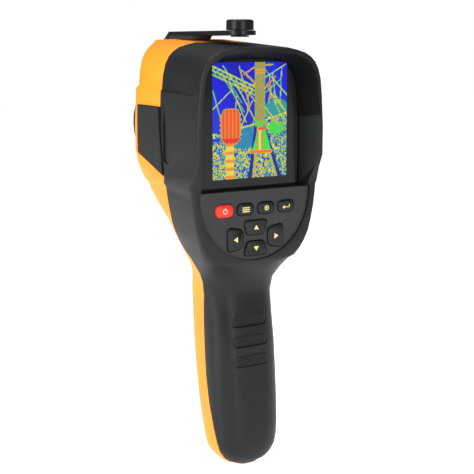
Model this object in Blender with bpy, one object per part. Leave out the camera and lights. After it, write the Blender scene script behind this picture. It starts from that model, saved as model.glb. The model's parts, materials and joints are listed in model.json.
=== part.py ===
"""Hand-held thermal imaging camera, modelled as its separate parts.

Lengths are in millimetres until put() scales a mesh to metres. In this local frame +X is to the
user's right, +Y points forward along the lens, +Z is up. Y = 0 is the plane of the hood's rim and
Z = 0 is the bottom of the handle. The frame empty moves all of it so that the world's origin is
the middle of the grip.
"""

import math

import bmesh
import bpy
from mathutils import Matrix, Vector

# Driving dimensions -------------------------------------------------------------------------
MM = 0.001
GRIP_HEIGHT = 60.0  # the world's origin, above the bottom of the handle
GRIP_DEPTH = 28.5  # the world's origin, in front of the rim plane
HEAD_TOP = 218.5  # top of the rim, before the roof's rise
ROOF_RISE = 4.3  # how far the roof climbs in front of the rim
WALL = 2.4
GAP = 0.3
RIM_WALL = 2.3
CORNER_STEPS = 6

HALF_WIDTH = [(0, 8), (2, 12), (5, 15), (10, 17.5), (18, 19), (30, 19.6), (50, 19.8), (75, 19.3),
              (88, 19.5), (96, 20.6), (104, 23), (112, 27), (120, 30.6), (130, 33.6), (140, 35.4),
              (150, 36.3), (186, 36.2), (196, 35.1), (202, 34.5), (208, 32.9), (212, 30.6),
              (215.2, 26.6), (217, 22.2), (218.5, 15)]
REAR_FLAT = [(0, 2), (20, 5), (60, 5.5), (96, 5), (106, 4), (109.6, 6), (111.6, 17), (113, 20.5),
             (116, 24.4), (120, 28), (123, 30.4), (131, 32.6), (139, 34.4), (152, 35.2), (186, 35)]
REAR_DEPTH = [(0, 13), (2, 10.5), (5, 8.6), (9, 7.4), (14, 7), (27, 7.4), (47, 9.2), (57, 9.6),
              (70, 11.1), (82, 13.3), (89, 14.8), (96, 16), (102, 13), (106, 9.9), (109.6, 7.4),
              (112.5, 6.2), (152, 6.2), (164, 0), (218.5, 0)]
REAR_CORNER = [(0, 8), (20, 12), (60, 13), (100, 12), (109, 11), (116, 6), (124, 3), (152, 2)]
FRONT_DEPTH = [(0, 29), (2, 32.5), (5, 35), (10, 36.8), (15, 37.6), (27, 41), (47, 45), (69, 48.8),
               (89, 50), (96, 48.3), (104, 43.6), (108, 41.4), (114, 42), (121, 44), (127, 48.8),
               (133, 54.6), (141, 66.6), (150, 75.6), (158, 79.6), (165, 80), (218.5, 80)]
FRONT_FLAT = [(0, 3), (20, 5.5), (96, 6), (108, 9), (121, 10), (133, 9), (150, 8), (165, 20),
              (218.5, 20)]
FRONT_CORNER = [(0, 8), (20, 13), (104, 14), (121, 14), (133, 19), (150, 22), (165, 14), (218.5, 14)]
PARTING = [(-3, 13.5), (14, 15.5), (37, 21.5), (64, 26), (80, 27), (96, 25.6), (104, 23.6),
           (113, 26), (120, 31), (127, 33), (148, 34.8), (190, 40.6), (228, 41.5)]
BELT_LOW, BELT_HIGH, BELT_RAISE = 150.0, 195.5, 1.1

SCREEN_CENTRE = 182.6
SCREEN_FLOOR = 14.1  # depth of the hood, behind the window
SCREEN_HALF_WIDTH, SCREEN_LOW, SCREEN_HIGH = 28.6, 149.4, 213.0
KEYPAD_TOP, KEYPAD_HEIGHT, KEYPAD_HALF_WIDTH = 148.2, 35.8, 31.8
KEYPAD_FACE, KEYPAD_LEDGE = 7.2, 8.8
BUTTON_PROUD = 1.0

BEZEL_CENTRE, BEZEL_RADIUS, BEZEL_FRONT = 178.0, 32.0, 85.0
BEZEL_SEAT_RADIUS = 29.4
DISH_FLOOR, DISH_BACK = 75.8, 73.4
HINGE_DEPTH, HINGE_HEIGHT, HINGE_RADIUS = 82.0, 221.0, 2.4
EAR_TOP, EAR_FRONT, EAR_HALF_WIDTH, ARM_SLOT = 222.6, 84.4, 18.6, 13.4
PLUG_DEPTH = 22.9
PLUG_RADIUS, PLUG_TOP = 6.9, 232.0
ARM_LOW, ARM_HIGH = 224.6, 226.8
LENS_HEIGHT = HINGE_HEIGHT - (HINGE_DEPTH - PLUG_DEPTH)  # where the plug lands when it closes
CAMERA_HEIGHT = 187.0

COVER_PIVOT = (-36.4, 65.6)  # x and y of the port cover's hinge line
HANDLE_RAKE = math.radians(8.5)
CELL_RADIUS, CELL_LENGTH = 9.25, 65.0
CELL_CENTRE = (0.0, 33.3, 58.5)
DOOR_LOW, DOOR_HIGH, DOOR_HALF_WIDTH = 24.5, 90.0, 15.0
TRIGGER_PIVOT = (38.3, 118.8)  # y and z of the trigger's pin
SCREW_PLACES = [(-28.6, 206.8), (28.6, 206.8), (-27.2, 128.0), (27.2, 128.0), (0.0, 14.5)]
BOARD_SCREW_PLACES = [(-28.2, 152.0), (28.2, 152.0), (-28.2, 199.5), (28.2, 199.5)]
BOARD_DEPTH, BOARD_THICKNESS = 24.0, 1.6


# Curves that give the body its form ------------------------------------------------------------
def along(table, t):
    """A smooth value between the table's points, without overshoot."""
    if t <= table[0][0]:
        return table[0][1]
    if t >= table[-1][0]:
        return table[-1][1]
    k = max(i for i in range(len(table) - 1) if table[i][0] <= t)

    def slope(i):
        if i in (0, len(table) - 1):
            return 0.0
        before = (table[i][1] - table[i - 1][1]) / (table[i][0] - table[i - 1][0])
        after = (table[i + 1][1] - table[i][1]) / (table[i + 1][0] - table[i][0])
        return 0.0 if before * after <= 0 else 2 * before * after / (before + after)

    (t0, v0), (t1, v1) = table[k], table[k + 1]
    span = t1 - t0
    u = (t - t0) / span
    return ((2 * u**3 - 3 * u**2 + 1) * v0 + (u**3 - 2 * u**2 + u) * span * slope(k)
            + (3 * u**2 - 2 * u**3) * v1 + (u**3 - u**2) * span * slope(k + 1))


def step(low, high, t):
    """0 below low, 1 above high, smooth between."""
    u = min(1.0, max(0.0, (t - low) / (high - low)))
    return u * u * (3 - 2 * u)


def roof_rise(y, z):
    """How far a point of the head is lifted, so that the roof climbs from the rim."""
    return ROOF_RISE * step(0, 22, y) * step(176, HEAD_TOP, z)


def section(z, grow=0.0):
    """The body's outline at height z: a list of (x, y, z), anticlockwise from above."""
    belt = BELT_RAISE * step(BELT_LOW - 1, BELT_LOW + 1, z) * (1 - step(BELT_HIGH, BELT_HIGH + 1.2, z))
    half = along(HALF_WIDTH, z) + grow
    rear = along(REAR_DEPTH, z) - grow
    front = along(FRONT_DEPTH, z) + grow + belt
    corners = ((rear, along(REAR_FLAT, z), along(REAR_CORNER, z), False),
               (front, along(FRONT_FLAT, z), along(FRONT_CORNER, z), True))
    side = []
    for edge, flat, deep, is_front in corners:
        flat = max(1.0, min(flat, half - 1.0))
        deep = max(0.8, deep + grow)
        for i in range(CORNER_STEPS + 1):
            turn = math.pi / 2 * i / CORNER_STEPS
            if is_front:
                x = flat + (half - flat) * math.cos(turn)
                y = edge - deep + deep * math.sin(turn)
            else:
                x = flat + (half - flat) * math.sin(turn)
                y = edge + deep - deep * math.cos(turn)
            side.append((x + belt * step(4, 8, y), y))
    ring = side + [(-x, y) for x, y in reversed(side)]
    return [(x, y, z + roof_rise(y, z)) for x, y in ring]


def screw_reach(z):
    """How far ahead of the parting surface a housing screw's head sits."""
    return 5.0 if 100 < z < 150 else 9.0


# Mesh helpers -----------------------------------------------------------------------------------
frame = None
LARGE_PARTS = ("rear_housing", "front_housing", "front_bezel")


def put(name, mesh, colour, roughness=0.55, metallic=0.0, at=(0, 0, 0), turn=(0, 0, 0)):
    """Make one named part from a bmesh in millimetres, with its own material."""
    bmesh.ops.recalc_face_normals(mesh, faces=mesh.faces)
    bmesh.ops.scale(mesh, vec=(MM, MM, MM), verts=mesh.verts)
    data = bpy.data.meshes.new(name)
    mesh.to_mesh(data)
    mesh.free()
    data.shade_smooth()
    data.set_sharp_from_angle(angle=math.radians(35))
    part = bpy.data.objects.new(name, data)
    bpy.context.scene.collection.objects.link(part)
    part.parent = frame
    part.location = Vector(at) * MM
    part.rotation_euler = turn
    material = bpy.data.materials.new(name)
    material.use_nodes = True
    shader = material.node_tree.nodes["Principled BSDF"]
    shader.inputs["Base Color"].default_value = (*colour, 1)
    shader.inputs["Roughness"].default_value = roughness
    shader.inputs["Metallic"].default_value = metallic
    data.materials.append(material)
    return part


def tool(name, mesh, **place):
    """A hidden shape for a Boolean."""
    part = put(name, mesh, (1, 0, 0), **place)
    part.hide_render = True
    part.display_type = "WIRE"
    return part


def boolean(part, operation, *others):
    """Cut, join or trim a part. The exact solver stalls or leaves slits on the large ones."""
    for other in others:
        modifier = part.modifiers.new(other.name, "BOOLEAN")
        modifier.operation = operation
        modifier.object = other
        modifier.solver = "EXACT" if part.name not in LARGE_PARTS else "MANIFOLD"


def rings_mesh(rings):
    """A closed skin through rings of equal length, with a cap on each end."""
    mesh = bmesh.new()
    rows = [[mesh.verts.new(point) for point in ring] for ring in rings]
    count = len(rows[0])
    for low, high in zip(rows, rows[1:]):
        for i in range(count):
            j = (i + 1) % count
            mesh.faces.new((low[i], low[j], high[j], high[i]))
    mesh.faces.new(rows[0][::-1])
    mesh.faces.new(rows[-1])
    return mesh


def box(low, high):
    x0, y0, z0 = low
    x1, y1, z1 = high
    ring = [(x0, y0), (x1, y0), (x1, y1), (x0, y1)]
    return rings_mesh([[(x, y, z) for x, y in ring] for z in (z0, z1)])


def rounded(half_x, half_z, radius, steps=4):
    """A rounded rectangle's outline as (x, z) pairs."""
    outline = []
    for corner, (sx, sz) in enumerate(((1, 1), (-1, 1), (-1, -1), (1, -1))):
        for i in range(steps + 1):
            turn = math.pi / 2 * (corner + i / steps)
            outline.append((sx * (half_x - radius) + radius * math.cos(turn),
                            sz * (half_z - radius) + radius * math.sin(turn)))
    return outline


def circle(radius, steps=24):
    return [(radius * math.cos(2 * math.pi * i / steps), radius * math.sin(2 * math.pi * i / steps))
            for i in range(steps)]


def plate(outline, y0, y1, centre=(0, 0), taper=1.0):
    """An outline of (x, z) pairs pulled along Y from y0 to y1."""
    cx, cz = centre
    rings = [[(cx + s * x, y, cz + s * z) for x, z in outline] for y, s in ((y0, taper), (y1, 1.0))]
    return rings_mesh(rings)


def side_plate(outline, x0, x1):
    """An outline of (y, z) pairs pulled along X."""
    return rings_mesh([[(x, y, z) for y, z in outline] for x in (x0, x1)])


def turned(profile, steps=24, axis="Y"):
    """A solid of revolution from (radius, distance) pairs that start and end on the axis."""
    mesh = bmesh.new()
    rows = []
    for radius, along_axis in profile:
        if radius == 0:
            rows.append([mesh.verts.new((0, along_axis, 0))])
        else:
            rows.append([mesh.verts.new((x, along_axis, z)) for x, z in circle(radius, steps)])
    for low, high in zip(rows, rows[1:]):
        for i in range(steps):
            j = (i + 1) % steps
            corners = [low[i % len(low)], low[j % len(low)], high[j % len(high)], high[i % len(high)]]
            corners = list(dict.fromkeys(corners))
            if len(corners) > 2:
                mesh.faces.new(corners)
    return spin_axis(mesh, axis)


def ring_solid(profile, steps=24, axis="Y"):
    """A ring turned from a closed profile of (radius, distance) pairs, off the axis."""
    mesh = bmesh.new()
    rows = [[mesh.verts.new((x, d, z)) for x, z in circle(r, steps)] for r, d in profile]
    for low, high in zip(rows, rows[1:] + rows[:1]):
        for i in range(steps):
            j = (i + 1) % steps
            mesh.faces.new((low[i], low[j], high[j], high[i]))
    return spin_axis(mesh, axis)


def spin_axis(mesh, axis):
    if axis == "X":
        bmesh.ops.rotate(mesh, verts=mesh.verts, matrix=Matrix.Rotation(-math.pi / 2, 3, "Z"))
    if axis == "Z":
        bmesh.ops.rotate(mesh, verts=mesh.verts, matrix=Matrix.Rotation(math.pi / 2, 3, "X"))
    return mesh


def shifted(mesh, x=0, y=0, z=0):
    bmesh.ops.translate(mesh, vec=(x, y, z), verts=mesh.verts)
    return mesh


def body_skin(levels, grow=0.0):
    return rings_mesh([section(z, grow) for z in levels])


# Outlines shared by several parts -----------------------------------------------------------------
OUTER_LEVELS = [0, 1, 2.5, 5, 9, 14, 22, 35, 50, 66, 82, 92, 99, 105, 109.6, 112.5, 116, 120, 125, 131,
                138, 145, 149, 151, 158, 165, 180, 195.5, 196.7, 203, 208, 211.5, 214, 216, 217.4, HEAD_TOP]


def keypad_outline(inset=0.0, top=0.0, steps=9):
    """The keypad's shape, flat on top and round below, as (x, z) pairs about its top's middle."""
    side = []
    for i in range(steps + 1):
        drop = math.sin(math.pi / 2 * i / steps)
        half = KEYPAD_HALF_WIDTH * math.sqrt(max(0.0, 1 - drop**2.2))
        side.append(((KEYPAD_HALF_WIDTH - inset) / KEYPAD_HALF_WIDTH * half,
                     min(-top, -drop * (KEYPAD_HEIGHT - inset))))
    side[-1] = (0.0, side[-1][1])
    return side[::-1] + [(-x, z) for x, z in side[:-1]]


def hood_outline(half_low, low, high, scale):
    """The hood's opening: the body's own arch, drawn in."""
    levels = [160, 186, 196, 202, 208, 212, 215.2, 217]
    side = [(half_low, low)]
    for z in levels:
        half = (along(HALF_WIDTH, z) - RIM_WALL) * scale
        side.append((half, low + (z - 148) / (HEAD_TOP - 148) * (high - low) * 1.005))
    side.append((8 * scale, high))
    return side + [(-x, z) for x, z in reversed(side)]


def panel_outline(inset, front):
    """The side panel's edge as (y, z) pairs, from the parting line to its front edge."""
    return [(36.9 + inset, 154.4 + 1.6 * inset), (52.0, 159.2 + inset), (front, 163.7 + inset),
            (front, 189.2 - inset), (40.9 + inset, 189.2 - inset), (38.7 + inset, 170.0)]


# Housings -------------------------------------------------------------------------------------------
def half_space(name, behind):
    """Everything behind the parting surface, or in front of it, half a gap away."""
    levels = [-3, 8, 14, 25, 37, 50, 64, 80, 90, 96, 104, 113, 120, 127, 148, 170, 190, 232]
    shift = -GAP / 2 if behind else GAP / 2
    edge = [(along(PARTING, z) + shift, z) for z in levels]
    far = -40.0 if behind else 140.0
    return tool(name, side_plate(edge + [(far, 240.0), (far, -10.0)], -60, 60))


def cavity(name):
    """The space inside the two housings."""
    rings = []
    for z in [4.5, 9, 16, 27, 50, 75, 92, 100, 107, 114, 122, 132, 142.2, 143.8, 152, 160, 180, 200,
              208, 213.4]:
        back = SCREEN_FLOOR + 1.5 if z > 143 else 11.2 if z > 106 else 0.0
        rings.append([(x, max(y, back), h) for x, y, h in section(z, -WALL)])
    return tool(name, rings_mesh(rings))


def hood_hollow(name):
    """The funnel in front of the screen, and the slot between the screen and the keypad."""
    mouth = hood_outline(33.9, KEYPAD_TOP + GAP, HEAD_TOP - RIM_WALL, 1.0)
    floor = hood_outline(29.0, KEYPAD_TOP + GAP, SCREEN_HIGH + GAP, 0.853)
    return tool(name, rings_mesh([[(x, y, z) for x, z in ring]
                                  for y, ring in ((-2.0, mouth), (0.0, mouth), (12.0, floor),
                                                  (SCREEN_FLOOR, floor))]))


def build_rear_housing(inside):
    housing = put("rear_housing", body_skin(OUTER_LEVELS), (0.05, 0.055, 0.06), 0.6)
    boolean(housing, "INTERSECT", half_space("cut_behind_parting", True))
    boolean(housing, "DIFFERENCE", inside, hood_hollow("cut_hood"))
    for k, (x, z) in enumerate(SCREW_PLACES):
        back = 14.8 if z > 150 else 10.0 if z > 100 else 8.6
        post = plate(circle(3.3, 12), back, along(PARTING, z) - GAP / 2, (x, z))
        hole = plate(circle(1.4, 12), back + 2, 60, (x, z))
        boolean(housing, "UNION", tool(f"add_post_{k}", post))
        boolean(housing, "DIFFERENCE", tool(f"cut_post_{k}", hole))
    for k, (x, z) in enumerate(BOARD_SCREW_PLACES):
        post = plate(circle(2.6, 12), 14.8, BOARD_DEPTH - GAP, (x, z))
        hole = plate(circle(1.0, 12), 17, 30, (x, z))
        boolean(housing, "UNION", tool(f"add_board_post_{k}", post))
        boolean(housing, "DIFFERENCE", tool(f"cut_board_post_{k}", hole))
    boolean(housing, "DIFFERENCE",
            tool("cut_keypad_seat", plate([(x * 1.01, z * 1.01 + GAP) for x, z in keypad_outline()],
                                          -2, KEYPAD_LEDGE, (0, KEYPAD_TOP))),
            tool("cut_keypad_opening", plate(keypad_outline(0.6, 2.6), 8, 11.8, (0, KEYPAD_TOP))),
            tool("cut_display_opening", plate(rounded(22.4, 29.4, 1.5), 13, 17, (0, SCREEN_CENTRE))))
    for side in (-1, 1):
        scoop = [(32.6 + y, 175.5 + z) for y, z in rounded(3.9, 14.5, 2.5)]
        boolean(housing, "DIFFERENCE",
                tool(f"cut_scoop_{side + 1}", side_plate(scoop, *sorted((side * 36.1, side * 40)))))
    for k in range(3):
        height = 79.0 - 10.4 * k
        pad = plate(rounded(10.0, 3.1, 1.6), 0, along(REAR_DEPTH, height) + 0.9, (0, height))
        boolean(housing, "DIFFERENCE", tool(f"cut_grip_pad_{k}", pad))


def build_front_housing(inside):
    housing = put("front_housing", body_skin(OUTER_LEVELS), (0.95, 0.42, 0.03), 0.5)
    boolean(housing, "INTERSECT", half_space("cut_ahead_of_parting", False))
    ears = [(66.0, 206.0), (EAR_FRONT, 206.0), (EAR_FRONT, EAR_TOP - 1.6), (EAR_FRONT - 1.6, EAR_TOP),
            (78.0, EAR_TOP), (66.0, 221.9)]
    boolean(housing, "UNION", tool("add_hinge_block", side_plate(ears, -EAR_HALF_WIDTH, EAR_HALF_WIDTH)))
    boolean(housing, "DIFFERENCE", inside)
    under_skin = tool("tube_ends", body_skin(OUTER_LEVELS[2:-2], -0.5))
    for k, (x, z) in enumerate(SCREW_PLACES):
        start = along(PARTING, z) + GAP / 2
        front = along(FRONT_DEPTH, z) - (6 if 100 < z < 150 else 1.5)
        tube = tool(f"add_tube_{k}", plate(circle(3.5, 12), start, front, (x, z)))
        boolean(tube, "INTERSECT", under_skin)
        boolean(housing, "UNION", tube)
        boolean(housing, "DIFFERENCE",
                tool(f"cut_tube_{k}", plate(circle(1.5, 12), start - 4, start + screw_reach(z), (x, z))),
                tool(f"cut_screw_well_{k}",
                     plate(circle(2.9, 12), start + screw_reach(z) - 1.4, 95, (x, z))))
    for side in (-1, 1):
        lug = box((min(side * 7.8, side * 10.4), 35.6, 115.6), (max(side * 7.8, side * 10.4), 43, 121.8))
        boolean(housing, "UNION", tool(f"add_trigger_lug_{side + 1}", lug))
    y, z = TRIGGER_PIVOT
    boolean(housing, "DIFFERENCE",
            tool("cut_trigger_pin", shifted(turned([(0, -10.6), (1.1, -10.6), (1.1, 10.6), (0, 10.6)],
                                                   12, "X"), y=y, z=z)),
            tool("cut_trigger_slot", box((-7.4, 30, 96.4), (7.4, 60, 118.3))))
    boolean(housing, "DIFFERENCE",
            tool("cut_bezel_bore", plate(circle(BEZEL_SEAT_RADIUS + GAP, 40), 60, 90, (0, BEZEL_CENTRE))),
            tool("cut_bezel_seat", plate(circle(BEZEL_RADIUS + GAP, 40), 80, 90, (0, BEZEL_CENTRE))),
            tool("cut_arm_slot", box((-ARM_SLOT, 75.5, 200), (ARM_SLOT, 95, 230))),
            tool("cut_cover_pin", shifted(turned([(0, -17.2), (1.1, -17.2), (1.1, 17.2), (0, 17.2)],
                                                 12, "X"), y=HINGE_DEPTH, z=HINGE_HEIGHT)))
    for side in (-1, 1):
        edge = panel_outline(0.0, 67.1)
        recess = [(30.0, 152.0)] + edge[1:4] + [(30.0, edge[3][1])]
        boolean(housing, "DIFFERENCE", tool(f"cut_panel_{side + 1}",
                                            side_plate(recess, *sorted((side * 34.9, side * 40)))))
    boolean(housing, "DIFFERENCE",
            tool("cut_usb", box((-40, 48.7, 179.6), (-30, 58.3, 183.4))),
            tool("cut_card", box((-40, 46.7, 167.7), (-30, 61.3, 170.9))))
    seat = tool("cut_door_seat", box((-DOOR_HALF_WIDTH - GAP, 25, DOOR_LOW - GAP),
                                     (DOOR_HALF_WIDTH + GAP, 70, DOOR_HIGH + GAP)))
    boolean(seat, "DIFFERENCE", tool("door_seat_floor", body_skin(OUTER_LEVELS[3:18], -1.9)))
    boolean(housing, "DIFFERENCE", seat,
            tool("cut_battery_opening", box((-13.2, 30, DOOR_LOW + 1.4), (13.2, 70, DOOR_HIGH - 1.4))))


# Screen and keypad -----------------------------------------------------------------------------------
def build_screen():
    window = hood_outline(SCREEN_HALF_WIDTH, SCREEN_LOW, SCREEN_HIGH, 0.843)
    put("screen_window", rings_mesh([[(x, y, z) for x, z in window] for y in (12.6, 13.8)]),
        (0.02, 0.02, 0.025), 0.1)
    put("lcd_module", box((-25, 15.9, 150.5), (25, 19.3, 212.0)), (0.5, 0.52, 0.55), 0.3, 0.6)


def arrow_outline(half_width, half_height, lean):
    """A four-sided key with rounded corners, wider on one side by lean."""
    outline = []
    for x, z in rounded(half_width, half_height, min(half_width, half_height) * 0.55):
        outline.append((x * (1 + lean * z / half_height), z))
    return outline


def turned_outline(outline, quarter_turns):
    cos, sin = ((1, 0), (0, 1), (-1, 0), (0, -1))[quarter_turns]
    return [(x * cos - z * sin, x * sin + z * cos) for x, z in outline]


BUTTONS = {
    "power_button": ((-18.0, 138.8), rounded(5.1, 3.3, 2.6), (0.8, 0.06, 0.03)),
    "menu_button": ((-6.0, 138.8), rounded(4.85, 3.05, 2.4), (0.03, 0.03, 0.035)),
    "select_button": ((6.0, 138.8), rounded(4.85, 3.05, 2.4), (0.03, 0.03, 0.035)),
    "enter_button": ((18.0, 138.8), rounded(4.85, 3.05, 2.4), (0.03, 0.03, 0.035)),
    "up_button": ((0.0, 129.2), arrow_outline(6.2, 3.9, 0.16), (0.03, 0.03, 0.035)),
    "down_button": ((0.0, 118.6), turned_outline(arrow_outline(6.2, 3.9, 0.16), 2), (0.03, 0.03, 0.035)),
    "left_button": ((-11.8, 123.9), turned_outline(arrow_outline(5.6, 4.7, 0.16), 1), (0.03, 0.03, 0.035)),
    "right_button": ((11.8, 123.9), turned_outline(arrow_outline(5.6, 4.7, 0.16), 3), (0.03, 0.03, 0.035)),
}


def grown(outline, by):
    """An outline pushed outwards from its own middle."""
    return [(x + by * x / math.hypot(x, z), z + by * z / math.hypot(x, z)) for x, z in outline]


def build_keypad():
    face = put("keypad_faceplate", plate(keypad_outline(), KEYPAD_FACE, KEYPAD_FACE + 1.2, (0, KEYPAD_TOP)),
               (0.08, 0.08, 0.085), 0.45)
    board = put("keypad_board", plate(rounded(23.4, 12.0, 8), 12.2, 13.4, (0, 129.6)), (0.02, 0.2, 0.08))
    for name, (centre, outline, colour) in BUTTONS.items():
        hole = plate(grown(outline, GAP), 5, 11, centre)
        boolean(face, "DIFFERENCE", tool(f"cut_{name}", hole))
        dome = plate(circle(1.9, 8), 11.75, 12.6, centre)
        boolean(board, "UNION", tool(f"add_dome_{name}", dome))
        top = KEYPAD_FACE - BUTTON_PROUD
        layers = [(top, grown(outline, -0.8)), (top + 0.35, grown(outline, -0.25)), (top + 0.9, outline),
                  (9.0, outline), (9.1, grown(outline, 0.45)), (9.8, grown(outline, 0.45)),
                  (9.9, grown(outline, -1.6)), (10.7, grown(outline, -1.8))]
        cap = rings_mesh([[(x, y - KEYPAD_FACE, z) for x, z in ring] for y, ring in layers])
        put(name, cap, colour, 0.5, at=(centre[0], KEYPAD_FACE, centre[1]))


# Boards -----------------------------------------------------------------------------------------------
def build_boards():
    board = put("main_board", box((-31, BOARD_DEPTH, 148), (31, BOARD_DEPTH + BOARD_THICKNESS, 203.2)),
                (0.02, 0.2, 0.08))
    for k, (x, z, size, tall) in enumerate([(-6, 182, 7.5, 1.2), (14, 168, 5.0, 1.0), (-18, 160, 4.0, 1.4)]):
        chip = box((x - size, BOARD_DEPTH + 1, z - size), (x + size, BOARD_DEPTH + BOARD_THICKNESS + tall,
                                                           z + size))
        boolean(board, "UNION", tool(f"add_chip_{k}", chip))
    for k, (x, z) in enumerate(BOARD_SCREW_PLACES):
        boolean(board, "DIFFERENCE", tool(f"cut_board_{k}", plate(circle(1.2, 12), 20, 30, (x, z))))
        start = BOARD_DEPTH + BOARD_THICKNESS + GAP
        screw = shifted(turned([(0, -6.5), (0.8, -6.5), (0.8, 0), (1.9, 0), (1.9, 1.0), (1.3, 1.5), (0, 1.5)],
                               12), x, start, z)
        put(f"board_screw_{k + 1}", screw, (0.6, 0.6, 0.62), 0.3, 1.0)
    put("sensor_board", box((-16, 46.6, 151), (16, 48.2, 197)), (0.02, 0.2, 0.08))
    put("port_board", box((-27.4, 44, 158), (-26, 64, 189)), (0.02, 0.2, 0.08))
    usb = put("usb_socket", box((-34.5, 49, 179.9), (-27.7, 58, 183.1)), (0.6, 0.6, 0.62), 0.3, 1.0)
    boolean(usb, "DIFFERENCE", tool("cut_usb_mouth", box((-36, 49.6, 180.4), (-29, 57.4, 182.6))))
    card = put("card_socket", box((-34.5, 47, 168.0), (-27.7, 61, 170.6)), (0.6, 0.6, 0.62), 0.3, 1.0)
    boolean(card, "DIFFERENCE", tool("cut_card_mouth", box((-36, 48.0, 168.5), (-28.3, 60, 170.1))))
    put("memory_card", box((0, -5.5, -0.4), (5.6, 5.5, 0.4)), (0.03, 0.03, 0.03), at=(-34.3, 54, 169.3))
    for k, (x, z) in enumerate(SCREW_PLACES):
        reach = screw_reach(z)
        tip = -reach - (4.8 if z < 20 else 8)
        screw = shifted(turned([(0, tip), (1.2, tip), (1.2, 0), (2.6, 0), (2.6, 1.4), (1.8, 2.0), (0, 2.0)],
                               12), x, along(PARTING, z) + GAP / 2 + reach + GAP, z)
        put(f"housing_screw_{k + 1}", screw, (0.6, 0.6, 0.62), 0.3, 1.0)


# Lens end ---------------------------------------------------------------------------------------------
def build_lens_end():
    ring = [(0, DISH_BACK), (BEZEL_SEAT_RADIUS, DISH_BACK), (BEZEL_SEAT_RADIUS, 80.3), (BEZEL_RADIUS, 80.3),
            (BEZEL_RADIUS, 83.8), (BEZEL_RADIUS - 1.2, BEZEL_FRONT), (30.0, BEZEL_FRONT), (29.2, 84.4),
            (26.6, DISH_FLOOR), (0, DISH_FLOOR)]
    bezel = put("front_bezel", shifted(turned(ring, 40), z=BEZEL_CENTRE), (0.02, 0.02, 0.022), 0.4)
    boolean(bezel, "DIFFERENCE",
            tool("cut_lens_bore", plate(circle(10.3, 24), 70, 90, (0, LENS_HEIGHT))),
            tool("cut_camera_bore", plate(circle(5.0, 20), 70, 90, (0, CAMERA_HEIGHT))),
            tool("cut_bezel_slot", box((-ARM_SLOT, 75.5, 201), (ARM_SLOT, 95, 230))))
    barrel = ring_solid([(10, 58), (10, 75.4), (7.4, 75.4), (7.4, 70.2), (8.6, 70.2), (8.6, 65), (6.6, 65),
                         (6.6, 58)])
    put("ir_lens_barrel", shifted(barrel, z=LENS_HEIGHT), (0.03, 0.03, 0.032), 0.35, 0.8)
    lens = turned([(0, 67.3), (8.3, 67.3), (8.3, 69.2), (6.5, 69.7), (3.5, 70.3), (0, 70.5)])
    put("ir_lens", shifted(lens, z=LENS_HEIGHT), (0.3, 0.2, 0.25), 0.08, 0.7)
    clamp = ring_solid([(8.3, 65.3), (8.3, 67.0), (6.8, 67.0), (6.8, 65.3)])
    put("lens_retaining_ring", shifted(clamp, z=LENS_HEIGHT), (0.03, 0.03, 0.03), 0.4, 0.9)
    sensor = put("ir_sensor_module", box((-10, 48.5, LENS_HEIGHT - 10), (10, 57.6, LENS_HEIGHT + 10)),
                 (0.55, 0.45, 0.2), 0.35, 0.9)
    boolean(sensor, "UNION", tool("add_snout", plate(circle(6.2, 20), 55, 60.5, (0, LENS_HEIGHT))))
    put("camera_window", shifted(turned([(0, 73.9), (4.7, 73.9), (4.7, 75.2), (0, 75.2)], 20),
                                 z=CAMERA_HEIGHT), (0.05, 0.05, 0.06), 0.05)
    camera = put("camera_module", box((-5, 48.5, CAMERA_HEIGHT - 5), (5, 56, CAMERA_HEIGHT + 5)),
                 (0.03, 0.03, 0.03), 0.4)
    boolean(camera, "UNION", tool("add_camera_barrel", plate(circle(4.2, 20), 54, 72.8, (0, CAMERA_HEIGHT))))


def build_lens_cover():
    """The flip cover, open: it lies back over the roof, and its origin is on its hinge."""
    low, high = ARM_LOW - HINGE_HEIGHT, ARM_HIGH - HINGE_HEIGHT
    reach = PLUG_DEPTH - HINGE_DEPTH
    start = -6.0
    outline = [(13.0, start), (11.6, -22), (10.0, -38)]
    outline += [(8 * math.cos(a), reach - 8 * math.sin(a))
                for a in [math.radians(-6 + 192 * i / 14) for i in range(15)]]
    outline += [(-10.0, -38), (-11.6, -22), (-13.0, start)]
    place = {"at": (0, HINGE_DEPTH, HINGE_HEIGHT)}
    arm = put("lens_cover", rings_mesh([[(x, y, z) for x, y in outline] for z in (low, high)]),
              (0.02, 0.02, 0.022), 0.4, **place)
    crank = [(1.2, 1.4), (0.4, 2.3), (-4.8, high), (-8.0, high), (-8.0, low), (-6.4, low), (-2.2, 0.4)]
    barrel = turned([(0, -13), (HINGE_RADIUS, -13), (HINGE_RADIUS, 13), (0, 13)], 20, "X")
    bore = turned([(0, -14), (1.1, -14), (1.1, 14), (0, 14)], 12, "X")
    stem = circle(3.3, 16)
    boolean(arm, "UNION", tool("add_crank", side_plate(crank, -12.98, 12.98), **place),
            tool("add_barrel", barrel, **place))
    boolean(arm, "DIFFERENCE", tool("cut_barrel", bore, **place),
            tool("cut_stem", rings_mesh([[(x, reach + y, z) for x, y in stem] for z in (0, 9)]), **place))
    plug = turned([(0, low - 0.9), (4.6, low - 0.9), (4.6, low - 0.2), (3.0, low - 0.2), (3.0, high + 0.2),
                   (PLUG_RADIUS, high + 0.2), (PLUG_RADIUS, PLUG_TOP - HINGE_HEIGHT - 0.5),
                   (PLUG_RADIUS - 0.5, PLUG_TOP - HINGE_HEIGHT), (5.6, PLUG_TOP - HINGE_HEIGHT),
                   (5.2, PLUG_TOP - HINGE_HEIGHT - 0.6), (0, PLUG_TOP - HINGE_HEIGHT - 0.6)], 24, "Z")
    put("lens_cover_plug", shifted(plug, y=reach), (0.02, 0.02, 0.022), 0.45, **place)
    pin = turned([(0, -17), (0.9, -17), (0.9, 17), (0, 17)], 12, "X")
    put("cover_hinge_pin", shifted(pin, y=HINGE_DEPTH, z=HINGE_HEIGHT), (0.6, 0.6, 0.62), 0.3, 1.0)


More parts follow.
